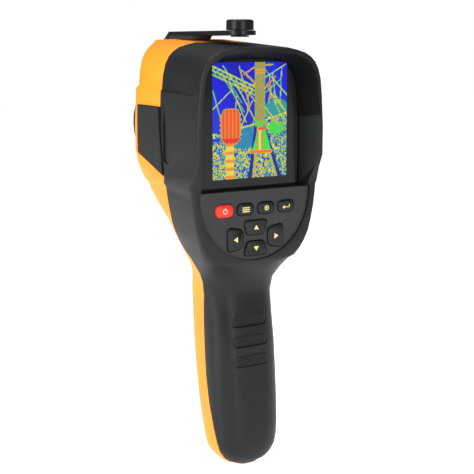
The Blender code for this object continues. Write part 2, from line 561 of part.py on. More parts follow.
# Sides ------------------------------------------------------------------------------------------------
def build_side_panels():
    x0, y0 = COVER_PIVOT
    flap = [(y - y0, z) for y, z in panel_outline(0.4, y0)]
    cover = put("port_cover", side_plate(flap, -1.1, 1.1), (0.03, 0.032, 0.035), 0.7, at=(x0, y0, 0))
    edge = rings_mesh([[(x, y, z) for x, y in circle(1.13, 13)] for z in (164.3, 188.6)])
    boolean(cover, "UNION", tool("add_cover_edge", edge, at=(x0, y0, 0)))
    put("right_side_panel", side_plate(panel_outline(0.4, 66.7), 35.3, 37.5), (0.03, 0.032, 0.035), 0.7)


# Handle -----------------------------------------------------------------------------------------------
def coil(radius, wire, turns, height, steps=14, sides=6):
    """A wire wound on a cone, as a closed tube."""
    rings = []
    for i in range(turns * steps + 1):
        angle = 2 * math.pi * i / steps
        share = i / (turns * steps)
        out = radius * (1 - 0.25 * share)
        centre = Vector((out * math.cos(angle), out * math.sin(angle), height * share))
        outward = Vector((math.cos(angle), math.sin(angle), 0))
        rings.append([centre + wire * (outward * math.cos(2 * math.pi * j / sides)
                                       + Vector((0, 0, 1)) * math.sin(2 * math.pi * j / sides))
                      for j in range(sides)])
    return rings_mesh(rings)


def build_battery():
    lean = {"at": CELL_CENTRE, "turn": (-HANDLE_RAKE, 0, 0)}
    cell = turned([(0, -CELL_LENGTH / 2), (CELL_RADIUS - 0.5, -CELL_LENGTH / 2),
                   (CELL_RADIUS, -CELL_LENGTH / 2 + 0.6), (CELL_RADIUS, CELL_LENGTH / 2 - 2),
                   (CELL_RADIUS - 0.7, CELL_LENGTH / 2 - 1), (3.2, CELL_LENGTH / 2 - 1),
                   (3.0, CELL_LENGTH / 2), (0, CELL_LENGTH / 2)], 24, "Z")
    put("battery_cell", cell, (0.05, 0.25, 0.5), 0.4, **lean)
    holder = put("battery_holder", box((-11.6, -11.2, -38), (11.6, 1.0, 38)), (0.03, 0.03, 0.03), **lean)
    hollow = rings_mesh([[(x, y, z) for x, y in circle(9.7, 24)] for z in (-36.5, 36.5)])
    boolean(holder, "DIFFERENCE", tool("cut_cell_bay", hollow, **lean),
            tool("cut_cell_mouth", box((-9.3, -1, -36.2), (9.3, 5, 36.2)), **lean))
    put("battery_contact", box((-4, -4, CELL_LENGTH / 2 + 0.3), (4, 3, CELL_LENGTH / 2 + 3.6)),
        (0.7, 0.7, 0.7), 0.3, 1.0, **lean)
    spring = shifted(coil(4.6, 0.35, 3, 2.5), z=-CELL_LENGTH / 2 - 3.3)
    put("battery_spring", spring, (0.7, 0.7, 0.7), 0.3, 1.0, **lean)
    door = put("battery_door", box((-DOOR_HALF_WIDTH, 25, DOOR_LOW), (DOOR_HALF_WIDTH, 70, DOOR_HIGH)),
               (0.02, 0.02, 0.022), 0.55)
    boolean(door, "INTERSECT", tool("door_outside", body_skin(OUTER_LEVELS[2:18], 0.9)))
    boolean(door, "DIFFERENCE", tool("door_inside", body_skin(OUTER_LEVELS[2:18], -1.6)))


def build_trigger():
    py, pz = TRIGGER_PIVOT
    outline = [(36.6, 117), (37.0, 120.4), (39.6, 120.4), (41.0, 117.0), (46.2, 116.6), (48.0, 112),
               (48.8, 106), (50.2, 100.6), (49.4, 98.4), (45.5, 98.2), (41.5, 101), (38.6, 106), (37.0, 112)]
    place = {"at": (0, py, pz)}
    lever = put("trigger", side_plate([(y - py, z - pz) for y, z in outline], -6.9, 6.9),
                (0.03, 0.03, 0.032), 0.5, **place)
    bore = turned([(0, -8), (1.1, -8), (1.1, 8), (0, 8)], 12, "X")
    boolean(lever, "DIFFERENCE", tool("cut_trigger_bore", bore, **place))
    pin = turned([(0, -10.2), (0.9, -10.2), (0.9, 10.2), (0, 10.2)], 12, "X")
    put("trigger_pin", shifted(pin, y=py, z=pz), (0.6, 0.6, 0.62), 0.3, 1.0)
    put("trigger_board", box((-8, 28.4, 98.6), (8, 29.6, 114)), (0.02, 0.2, 0.08))
    switch = put("trigger_switch", box((-3.2, 29.9, 100.5), (3.2, 34.0, 106.9)), (0.02, 0.02, 0.02))
    boolean(switch, "UNION", tool("add_plunger", plate(circle(1.2, 10), 33, 36.4, (0, 103.7))))


def main():
    global frame
    for old in list(bpy.data.objects):
        bpy.data.objects.remove(old)
    frame = bpy.data.objects.new("camera_frame", None)
    frame.location = Vector((0, -GRIP_DEPTH, -GRIP_HEIGHT)) * MM
    bpy.context.scene.collection.objects.link(frame)
    inside = cavity("cut_inside")
    build_rear_housing(inside)
    build_front_housing(inside)
    build_screen()
    build_keypad()
    build_boards()
    build_lens_end()
    build_lens_cover()
    build_side_panels()
    build_battery()
    build_trigger()


main()
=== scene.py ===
"""Looks of a hand-held thermal imaging camera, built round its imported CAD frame.

Each sub-assembly is a class that refines the frame's nodes into finished pieces and adds the fine
detail that the CAD solids leave out. Lengths in the classes are millimetres in the maker's frame:
X to the user's right, Y forward from the hood's rim, Z up from the bottom of the handle.
"""

import json
import logging
import math
from dataclasses import dataclass, field
from enum import Enum
from typing import Any, Iterable, Sequence

import bmesh
import bpy
import numpy as np
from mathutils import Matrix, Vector

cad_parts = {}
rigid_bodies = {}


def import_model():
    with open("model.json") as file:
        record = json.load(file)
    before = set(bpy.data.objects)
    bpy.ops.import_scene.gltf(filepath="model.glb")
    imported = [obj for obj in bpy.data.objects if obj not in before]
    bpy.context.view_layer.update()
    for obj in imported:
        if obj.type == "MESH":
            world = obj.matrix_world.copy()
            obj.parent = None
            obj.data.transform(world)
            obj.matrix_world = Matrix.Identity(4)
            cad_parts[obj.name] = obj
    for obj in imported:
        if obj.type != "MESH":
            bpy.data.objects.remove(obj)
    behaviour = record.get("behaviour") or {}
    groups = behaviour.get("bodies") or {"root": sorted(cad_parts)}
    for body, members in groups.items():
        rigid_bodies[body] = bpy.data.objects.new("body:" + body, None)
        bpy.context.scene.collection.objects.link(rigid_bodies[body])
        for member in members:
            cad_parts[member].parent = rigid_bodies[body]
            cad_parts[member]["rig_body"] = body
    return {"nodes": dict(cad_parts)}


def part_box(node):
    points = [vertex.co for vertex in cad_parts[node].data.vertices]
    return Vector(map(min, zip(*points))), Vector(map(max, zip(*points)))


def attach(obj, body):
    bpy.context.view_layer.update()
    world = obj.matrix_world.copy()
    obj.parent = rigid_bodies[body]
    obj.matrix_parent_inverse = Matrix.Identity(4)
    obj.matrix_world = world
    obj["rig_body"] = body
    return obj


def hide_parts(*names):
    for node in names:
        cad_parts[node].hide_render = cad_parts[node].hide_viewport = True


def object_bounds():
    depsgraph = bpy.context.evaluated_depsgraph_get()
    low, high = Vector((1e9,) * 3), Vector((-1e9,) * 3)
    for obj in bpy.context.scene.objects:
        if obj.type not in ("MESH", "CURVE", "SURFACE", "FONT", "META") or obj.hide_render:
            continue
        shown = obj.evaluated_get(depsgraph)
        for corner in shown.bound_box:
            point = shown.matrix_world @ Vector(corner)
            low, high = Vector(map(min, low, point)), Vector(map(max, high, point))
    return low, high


log = logging.getLogger("thermal_camera")
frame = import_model()
CAD_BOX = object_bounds()

MM = 0.001
ORIGIN_Y, ORIGIN_Z = 28.5, 60.0  # the row frame's origin, in the maker's frame
MERGE = 2e-6
FLATTEN = math.radians(0.6)  # faces that turn less than this are one flat face
DEPTH_STEP = 1e-7  # an edge that changes depth by more than this runs along the depth
BODY = "camera_body"
WARMTH = "warmth"  # the attribute that carries the picture's heat
ROOM_LIGHT = 0.20  # the surround's strength as a light; the backdrop itself is white

Point2 = tuple[float, float]
Point3 = tuple[float, float, float]
Colour = tuple[float, float, float]


class Slot(Enum):
    """The record's material slots."""

    DARK = "dark_housing"
    YELLOW = "yellow_housing"
    BLACK = "black_plastic"
    PANEL = "soft_panel"
    KEYPAD = "keypad_face"
    KEY = "dark_key"
    RED = "red_key"
    WINDOW = "window"
    LENS = "lens"
    LENS_METAL = "lens_metal"
    STEEL = "steel"
    SENSOR = "sensor_metal"
    BOARD = "board"
    CELL = "cell"


# Shader building --------------------------------------------------------------------------------
class Sock:
    """A shader socket that takes part in Python arithmetic."""

    def __init__(self, graph: "Graph", socket: bpy.types.NodeSocket) -> None:
        """Keep the socket and the graph that it lives in."""
        self.graph = graph
        self.socket = socket

    def _math(self, operation: str, first: Any, second: Any) -> "Sock":
        """Add one Math node and return its value."""
        return self.graph.node("ShaderNodeMath", {"operation": operation}, {0: first, 1: second})

    def __add__(self, other: Any) -> "Sock":
        """self + other."""
        return self._math("ADD", self, other)

    def __sub__(self, other: Any) -> "Sock":
        """self - other."""
        return self._math("SUBTRACT", self, other)

    def __rsub__(self, other: Any) -> "Sock":
        """other - self."""
        return self._math("SUBTRACT", other, self)

    def __mul__(self, other: Any) -> "Sock":
        """self * other."""
        return self._math("MULTIPLY", self, other)

    __radd__ = __add__
    __rmul__ = __mul__


class Graph:
    """One material's node tree."""

    def __init__(self, name: str) -> None:
        """Start an empty material.

        Args:
            name: the material's name.
        """
        self.material = bpy.data.materials.new(name)
        self.material.use_nodes = True
        self.tree = self.material.node_tree
        self.tree.nodes.clear()

    def node(self, kind: str, settings: dict[str, Any] | None = None,
             values: dict[Any, Any] | None = None, out: Any = 0) -> Sock | None:
        """Add a node.

        Args:
            kind: the node's type.
            settings: properties of the node, and "stops" for a colour ramp.
            values: socket name or index to a number, a colour or a Sock.
            out: name or index of the output that is returned.

        Returns:
            The chosen output, or None for a node that has none.
        """
        made = self.tree.nodes.new(kind)
        for key, value in (settings or {}).items():
            if key == "stops":
                self._stops(made.color_ramp, value)
            else:
                setattr(made, key, value)
        for key, value in (values or {}).items():
            if isinstance(value, Sock):
                self.tree.links.new(value.socket, made.inputs[key])
            else:
                made.inputs[key].default_value = value
        return Sock(self, made.outputs[out]) if made.outputs else None

    @staticmethod
    def _stops(ramp: bpy.types.ColorRamp, stops: Sequence[tuple[float, Colour]]) -> None:
        """Set a ramp's stops from (position, colour) pairs."""
        while len(ramp.elements) > 1:
            ramp.elements.remove(ramp.elements[-1])
        for i, (position, colour) in enumerate(stops):
            element = ramp.elements[0] if i == 0 else ramp.elements.new(position)
            element.position = position
            element.color = (*colour, 1)

    def place(self) -> Sock:
        """Object coordinates, in metres."""
        return self.node("ShaderNodeTexCoord", out="Object")

    def noise(self, scale: float, detail: float = 2.0, rough: float = 0.5) -> Sock:
        """Noise on Object coordinates.

        Args:
            scale: features in a metre.
            detail: octaves.
            rough: strength of the finer octaves.

        Returns:
            A value round 0.5.
        """
        return self.node("ShaderNodeTexNoise", None, {"Vector": self.place(), "Scale": scale,
                                                      "Detail": detail, "Roughness": rough})

    def clamped(self, value: Sock, low: float, high: float) -> Sock:
        """The value mapped from low..high to 0..1 and held there."""
        return self.node("ShaderNodeMapRange", None, {"Value": value, "From Min": low, "From Max": high})

    def mixed(self, share: Any, first: Any, second: Any) -> Sock:
        """A colour between two."""
        values = {0: share, 6: first if isinstance(first, Sock) else (*first, 1),
                  7: second if isinstance(second, Sock) else (*second, 1)}
        return self.node("ShaderNodeMix", {"data_type": "RGBA"}, values, out=2)

    def bump(self, height: Sock, distance: float, strength: float = 1.0) -> Sock:
        """A normal from a height, its full range being distance metres."""
        return self.node("ShaderNodeBump", None, {"Height": height, "Distance": distance,
                                                  "Strength": strength})

    def finish(self, values: dict[str, Any]) -> bpy.types.Material:
        """Close the tree with one Principled shader.

        Args:
            values: the shader's sockets.

        Returns:
            The material.
        """
        shader = self.node("ShaderNodeBsdfPrincipled", None, values)
        self.node("ShaderNodeOutputMaterial", None, {"Surface": shader})
        return self.material


# Finishes ---------------------------------------------------------------------------------------
@dataclass(frozen=True)
class Moulded:
    """Spark-eroded moulded plastic or rubber: fine grain, faint mottling, worn high spots."""

    name: str
    slot: Slot
    colour: Colour
    roughness: float
    grain: float = 0.000035
    grain_scale: float = 1500.0
    mottle: float = 0.12
    coat: float = 0.0
    specular: float = 0.5

    def make(self) -> bpy.types.Material:
        """Build the material."""
        g = Graph(self.name)
        grain = g.noise(self.grain_scale, 3.0, 0.6)
        cloud = g.noise(45.0, 2.0)
        dust = g.clamped(g.noise(420.0, 4.0, 0.7), 0.62, 0.8)
        share = g.clamped(cloud, 0.3, 0.7)
        dark = tuple(c * (1 - self.mottle) for c in self.colour)
        light = tuple(min(1.0, c * (1 + self.mottle) + 0.002) for c in self.colour)
        base = g.mixed(share, dark, light)
        base = g.mixed(dust * 0.35, base, tuple(min(1.0, c * 1.25 + 0.006) for c in self.colour))
        rough = g.clamped(grain, 0.2, 0.8) * 0.12 + (self.roughness - 0.06) + share * 0.05
        height = grain + cloud * 0.2
        return g.finish({"Base Color": base, "Roughness": rough, "Specular IOR Level": self.specular,
                         "Coat Weight": self.coat, "Coat Roughness": 0.25,
                         "Normal": g.bump(height, self.grain)})


@dataclass(frozen=True)
class Metal:
    """Turned or stamped metal with faint tool marks along one axis."""

    name: str
    slot: Slot
    colour: Colour
    roughness: float
    stretch: Point3 = (1.0, 12.0, 1.0)

    def make(self) -> bpy.types.Material:
        """Build the material."""
        g = Graph(self.name)
        lines = g.node("ShaderNodeMapping", None, {"Vector": g.place(), "Scale": self.stretch})
        marks = g.node("ShaderNodeTexNoise", None, {"Vector": lines, "Scale": 900.0, "Detail": 3.0})
        tarnish = g.clamped(g.noise(120.0, 3.0), 0.35, 0.75)
        base = g.mixed(tarnish, tuple(c * 0.82 for c in self.colour), self.colour)
        return g.finish({"Base Color": base, "Metallic": 1.0,
                         "Roughness": marks * 0.14 + (self.roughness - 0.07) + tarnish * 0.05,
                         "Normal": g.bump(marks, 0.00001)})


@dataclass(frozen=True)
class Gloss:
    """A polished window or lens: a deep tint under a hard clear coat, with faint smears."""

    name: str
    slot: Slot
    colour: Colour
    roughness: float
    metallic: float = 0.0
    coat: float = 0.0
    specular: float = 0.3

    def make(self) -> bpy.types.Material:
        """Build the material."""
        g = Graph(self.name)
        smear = g.clamped(g.noise(60.0, 3.0, 0.6), 0.35, 0.75)
        base = g.mixed(smear, tuple(c * 0.9 for c in self.colour), self.colour)
        return g.finish({"Base Color": base, "Metallic": self.metallic, "Coat Weight": self.coat,
                         "Coat Roughness": 0.06, "Roughness": smear * 0.05 + self.roughness,
                         "Specular IOR Level": self.specular,
                         "Normal": g.bump(g.noise(200.0), 0.000002)})


@dataclass(frozen=True)
class CircuitBoard:
    """Solder mask with traces and tinned pads."""

    name: str
    slot: Slot = Slot.BOARD

    def make(self) -> bpy.types.Material:
        """Build the material."""
        g = Graph(self.name)
        cells = g.node("ShaderNodeTexVoronoi", {"distance": "CHEBYCHEV", "feature": "F1"},
                       {"Vector": g.place(), "Scale": 380.0, "Randomness": 0.55}, out="Distance")
        trace = g.clamped(cells, 0.40, 0.47)
        pad = 1 - g.clamped(cells, 0.10, 0.14)
        base = g.mixed(trace, (0.01, 0.13, 0.05), (0.02, 0.24, 0.09))
        base = g.mixed(pad, base, (0.72, 0.70, 0.66))
        return g.finish({"Base Color": base, "Metallic": pad * 0.9, "Roughness": 0.42 - pad * 0.14,
                         "Normal": g.bump(trace + pad, 0.00003)})


@dataclass(frozen=True)
class Thermogram:
    """The lit picture: a heat value on each point, read through a rainbow palette."""

    name: str
    slot: Slot = Slot.WINDOW
    glow: float = 0.85
    palette: tuple[tuple[float, Colour], ...] = (
        (0.0, (0.005, 0.008, 0.08)), (0.12, (0.006, 0.006, 0.72)), (0.26, (0.01, 0.16, 0.50)),
        (0.38, (0.02, 0.45, 0.22)), (0.47, (0.06, 0.72, 0.04)), (0.57, (0.34, 0.30, 0.08)),
        (0.67, (0.82, 0.76, 0.05)), (0.78, (0.85, 0.28, 0.03)), (0.88, (0.88, 0.07, 0.01)),
        (1.0, (0.70, 0.01, 0.01)))

    def make(self) -> bpy.types.Material:
        """Build the material."""
        g = Graph(self.name)
        heat = g.node("ShaderNodeAttribute", {"attribute_name": WARMTH}, out="Fac")
        colour = g.node("ShaderNodeValToRGB", {"stops": self.palette}, {0: heat})
        smear = g.clamped(g.noise(60.0, 3.0, 0.6), 0.35, 0.75)
        return g.finish({"Base Color": g.mixed(0.9, colour, (0.01, 0.01, 0.012)),
                         "Emission Color": colour, "Emission Strength": self.glow,
                         "Roughness": smear * 0.05 + 0.12, "Specular IOR Level": 0.25})


@dataclass(frozen=True)
class Ink:
    """A printed or moulded-in symbol."""

    name: str
    slot: Slot
    colour: Colour

    def make(self) -> bpy.types.Material:
        """Build the material."""
        g = Graph(self.name)
        wear = g.clamped(g.noise(900.0, 3.0), 0.35, 0.6)
        return g.finish({"Base Color": g.mixed(wear, tuple(c * 0.75 for c in self.colour), self.colour),
                         "Roughness": wear * 0.1 + 0.4})


FINISHES: dict[str, Any] = {f.name: f for f in (
    Moulded("satin_dark_plastic", Slot.DARK, (0.0075, 0.0084, 0.0098), 0.43, specular=0.22),
    Moulded("satin_orange_plastic", Slot.YELLOW, (0.88, 0.285, 0.012), 0.44, mottle=0.04, specular=0.25),
    Moulded("satin_black_plastic", Slot.BLACK, (0.0025, 0.0025, 0.003), 0.34, mottle=0.2, specular=0.25),
    Moulded("soft_panel_rubber", Slot.PANEL, (0.0085, 0.0092, 0.0105), 0.52, grain=0.00005, specular=0.22),
    Moulded("keypad_plastic", Slot.KEYPAD, (0.024, 0.024, 0.026), 0.42, grain=0.00004, grain_scale=2200.0,
            specular=0.3),
    Moulded("key_rubber", Slot.KEY, (0.004, 0.004, 0.005), 0.45, grain=0.00002, specular=0.3),
    Moulded("red_key_rubber", Slot.RED, (0.68, 0.028, 0.012), 0.40, grain=0.00002, mottle=0.06,
            specular=0.3),
    Moulded("cell_sleeve", Slot.CELL, (0.03, 0.20, 0.50), 0.30, grain=0.00001, mottle=0.08, coat=0.4),
    # painted shade: a near-black matt for the hood's inner faces and for the belt's top step, darker than
    # the shell itself
    Moulded("painted_shade_black", Slot.DARK, (0.0012, 0.0012, 0.0014), 0.6, specular=0.12),
    Gloss("black_window", Slot.WINDOW, (0.010, 0.010, 0.011), 0.10),
    Gloss("germanium", Slot.LENS, (0.20, 0.13, 0.17), 0.07, metallic=0.7, coat=0.6, specular=0.5),
    Metal("anodised_black", Slot.LENS_METAL, (0.05, 0.05, 0.055), 0.36),
    Metal("plain_steel", Slot.STEEL, (0.60, 0.60, 0.62), 0.30),
    Metal("gold_plate", Slot.SENSOR, (0.75, 0.55, 0.22), 0.30),
    CircuitBoard("green_board"),
    Thermogram("thermal_picture"),
    Ink("pale_ink", Slot.KEY, (0.80, 0.74, 0.25)),
    Ink("light_ink", Slot.RED, (0.95, 0.72, 0.62)),
)}


class Store:
    """Makes each finish once and hands it out by name."""

    made: dict[str, bpy.types.Material] = {}

    @classmethod
    def get(cls, name: str) -> bpy.types.Material:
        """The material of that name."""
        if name not in cls.made:
            cls.made[name] = FINISHES[name].make()
        return cls.made[name]


# Mesh building ------------------------------------------------------------------------------------
def world(x: float, y: float, z: float) -> Vector:
    """A point of the maker's frame, in the row frame and metres."""
    return Vector((x, y - ORIGIN_Y, z - ORIGIN_Z)) * MM


def maker_box(node: str) -> tuple[Vector, Vector]:
    """A node's lowest and highest corner in the maker's frame, in millimetres."""
    low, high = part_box(node)
    shift = Vector((0.0, ORIGIN_Y, ORIGIN_Z))
    return low / MM + shift, high / MM + shift


def in_scene(name: str, data: Any) -> bpy.types.Object:
    """Wrap data in an object at the origin and link it to the scene."""
    piece = bpy.data.objects.new(name, data)
    bpy.context.scene.collection.objects.link(piece)
    return piece


def settle(piece: bpy.types.Object, finish: str, body: str, sharp: float = 35.0) -> bpy.types.Object:
    """Give a finished mesh its material, shading and body.

    Args:
        piece: the object, with its place in its mesh.
        finish: name of the finish.
        body: the body that it rides.
        sharp: edges sharper than this many degrees stay crisp.

    Returns:
        The same object.
    """
    piece.data.materials.clear()
    piece.data.materials.append(Store.get(finish))
    piece.data.shade_smooth()
    piece.data.set_sharp_from_angle(angle=math.radians(sharp))
    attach(piece, body)
    log.info("%s rides %s: %d faces", piece.name, body, len(piece.data.polygons))
    return piece


def from_bmesh(name: str, mesh: bmesh.types.BMesh) -> bpy.types.Object:
    """Turn a bmesh into a linked object."""
    bmesh.ops.recalc_face_normals(mesh, faces=mesh.faces)
    data = bpy.data.meshes.new(name)
    mesh.to_mesh(data)
    mesh.free()
    return in_scene(name, data)


def refined(node: str, finish: str, bevel: float = 0.0, sharp: float = 35.0) -> bpy.types.Object:
    """Replace a CAD node with a merged, smoothly shaded copy with eased edges.

    Args:
        node: the CAD node.
        finish: name of the finish.
        bevel: width of the eased edge in millimetres, 0 for none.
        sharp: edges sharper than this many degrees stay crisp.

    Returns:
        The copy.
    """
    source = frame["nodes"][node]
    mesh = bmesh.new()
    verts = [mesh.verts.new(v.co) for v in source.data.vertices]
    for polygon in source.data.polygons:
        mesh.faces.new([verts[i] for i in polygon.vertices])
    bmesh.ops.remove_doubles(mesh, verts=mesh.verts, dist=MERGE)
    bmesh.ops.dissolve_degenerate(mesh, edges=mesh.edges, dist=MERGE)
    bmesh.ops.dissolve_limit(mesh, angle_limit=FLATTEN, verts=mesh.verts, edges=mesh.edges)
    data = bpy.data.meshes.new(f"{node}_finish")
    mesh.to_mesh(data)
    mesh.free()
    piece = in_scene(f"{node}_finish", data)
    settle(piece, finish, source["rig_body"], sharp)
    if bevel:
        ease = piece.modifiers.new("eased_edges", "BEVEL")
        ease.width = bevel * MM
        ease.segments = 2
        ease.limit_method = "ANGLE"
        ease.angle_limit = math.radians(sharp)
        ease.harden_normals = True
    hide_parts(node)
    return piece


def prism(outline: Sequence[Point2], low: float, high: float, centre: Point2,
          ease: float = 0.0) -> bmesh.types.BMesh:
    """A closed prism: an (x, z) outline pulled along Y.

    Args:
        outline: points about the centre, in millimetres.
        low: where it starts along its axis.
        high: where it ends.
        centre: the outline's middle.
        ease: share by which the first end is drawn in.

    Returns:
        The mesh, in row-frame metres.
    """
    mesh = bmesh.new()
    layers = [(low, 1.0)] if not ease else [(low, 1.0 - ease), (low + (high - low) * 0.4, 1.0)]
    rings = []
    for level, scale in [*layers, (high, 1.0)]:
        rings.append([mesh.verts.new(world(centre[0] + u * scale, level, centre[1] + v * scale))
                      for u, v in outline])
    count = len(outline)
    for near, far in zip(rings, rings[1:]):
        for i in range(count):
            j = (i + 1) % count
            mesh.faces.new((near[i], near[j], far[j], far[i]))
    mesh.faces.new(rings[0])
    mesh.faces.new(rings[-1])
    return mesh


def rounded(half_u: float, half_v: float, radius: float, steps: int = 6) -> list[Point2]:
    """A rounded rectangle's outline."""
    outline = []
    for corner, (su, sv) in enumerate(((1, 1), (-1, 1), (-1, -1), (1, -1))):
        for i in range(steps + 1):
            turn = math.pi / 2 * (corner + i / steps)
            outline.append((su * (half_u - radius) + radius * math.cos(turn),
                            sv * (half_v - radius) + radius * math.sin(turn)))
    return outline


def as_mesh(holder: bpy.types.Object) -> bpy.types.Mesh:
    """The evaluated result of an object as a plain mesh; the object is removed."""
    bpy.context.view_layer.update()
    graph = bpy.context.evaluated_depsgraph_get()
    data = bpy.data.meshes.new_from_object(holder.evaluated_get(graph))
    bpy.data.objects.remove(holder)
    return data


def tube(name: str, path: Sequence[Vector], radius: float, closed: bool = False) -> bpy.types.Object:
    """A round bead along a path.

    Args:
        name: the piece's name.
        path: points in row-frame metres.
        radius: in millimetres.
        closed: whether the last point joins the first.

    Returns:
        A mesh object.
    """
    curve = bpy.data.curves.new(name, "CURVE")
    curve.dimensions = "3D"
    curve.bevel_depth = radius * MM
    curve.bevel_resolution = 3
    curve.use_fill_caps = not closed
    spline = curve.splines.new("POLY")
    spline.points.add(len(path) - 1)
    for point, place in zip(spline.points, path):
        point.co = (*place, 1.0)
    spline.use_cyclic_u = closed
    data = as_mesh(in_scene(name, curve))
    bpy.data.curves.remove(curve)
    return in_scene(name, data)


# Geometry Nodes --------------------------------------------------------------------------------------
@dataclass
class RowOfBars:
    """A Geometry Nodes tree that sets rounded bars in a row."""

    name: str
    count: int
    start: Vector
    step: Vector
    length: float
    radius: float
    finish: str
    sides: int = 12

    def build(self, body: str) -> bpy.types.Object:
        """Run the tree and keep its result as a plain mesh.

        Args:
            body: the body that the bars ride.

        Returns:
            The mesh object.
        """
        tree = bpy.data.node_groups.new(self.name, "GeometryNodeTree")
        sockets = {}
        for label, kind, value in (("Count", "NodeSocketInt", self.count),
                                   ("Start", "NodeSocketVector", self.start),
                                   ("Step", "NodeSocketVector", self.step),
                                   ("Length", "NodeSocketFloat", self.length * MM),
                                   ("Radius", "NodeSocketFloat", self.radius * MM)):
            made = tree.interface.new_socket(label, in_out="INPUT", socket_type=kind)
            sockets[made.identifier] = value
        tree.interface.new_socket("Geometry", in_out="OUTPUT", socket_type="NodeSocketGeometry")

        def node(kind: str, settings: dict[str, Any] | None = None, **links: Any) -> bpy.types.Node:
            """Add a node, set its properties and feed its sockets."""
            made = tree.nodes.new(kind)
            for key, value in (settings or {}).items():
                setattr(made, key, value)
            for key, value in links.items():
                target = made.inputs[key.replace("_", " ")]
                if isinstance(value, bpy.types.NodeSocket):
                    tree.links.new(value, target)
                else:
                    target.default_value = value
            return made

        given = node("NodeGroupInput").outputs
        line = node("GeometryNodeMeshLine", {"mode": "OFFSET"}, Count=given["Count"],
                    Start_Location=given["Start"], Offset=given["Step"])
        bar = node("GeometryNodeMeshCylinder", None, Vertices=self.sides, Radius=given["Radius"],
                   Depth=given["Length"])
        laid = node("GeometryNodeTransform", None, Geometry=bar.outputs["Mesh"],
                    Rotation=(0.0, math.pi / 2, 0.0))
        placed = node("GeometryNodeInstanceOnPoints", None, Points=line.outputs["Mesh"],
                      Instance=laid.outputs["Geometry"])
        solid = node("GeometryNodeRealizeInstances", None, Geometry=placed.outputs["Instances"])
        dressed = node("GeometryNodeSetMaterial", None, Geometry=solid.outputs["Geometry"],
                       Material=Store.get(self.finish))
        node("NodeGroupOutput", None, Geometry=dressed.outputs["Geometry"])
        holder = in_scene(f"{self.name}_holder", bpy.data.meshes.new(self.name))
        modifier = holder.modifiers.new("row", "NODES")
        modifier.node_group = tree
        for identifier, value in sockets.items():
            modifier[identifier] = value
        return settle(in_scene(self.name, as_mesh(holder)), self.finish, body)


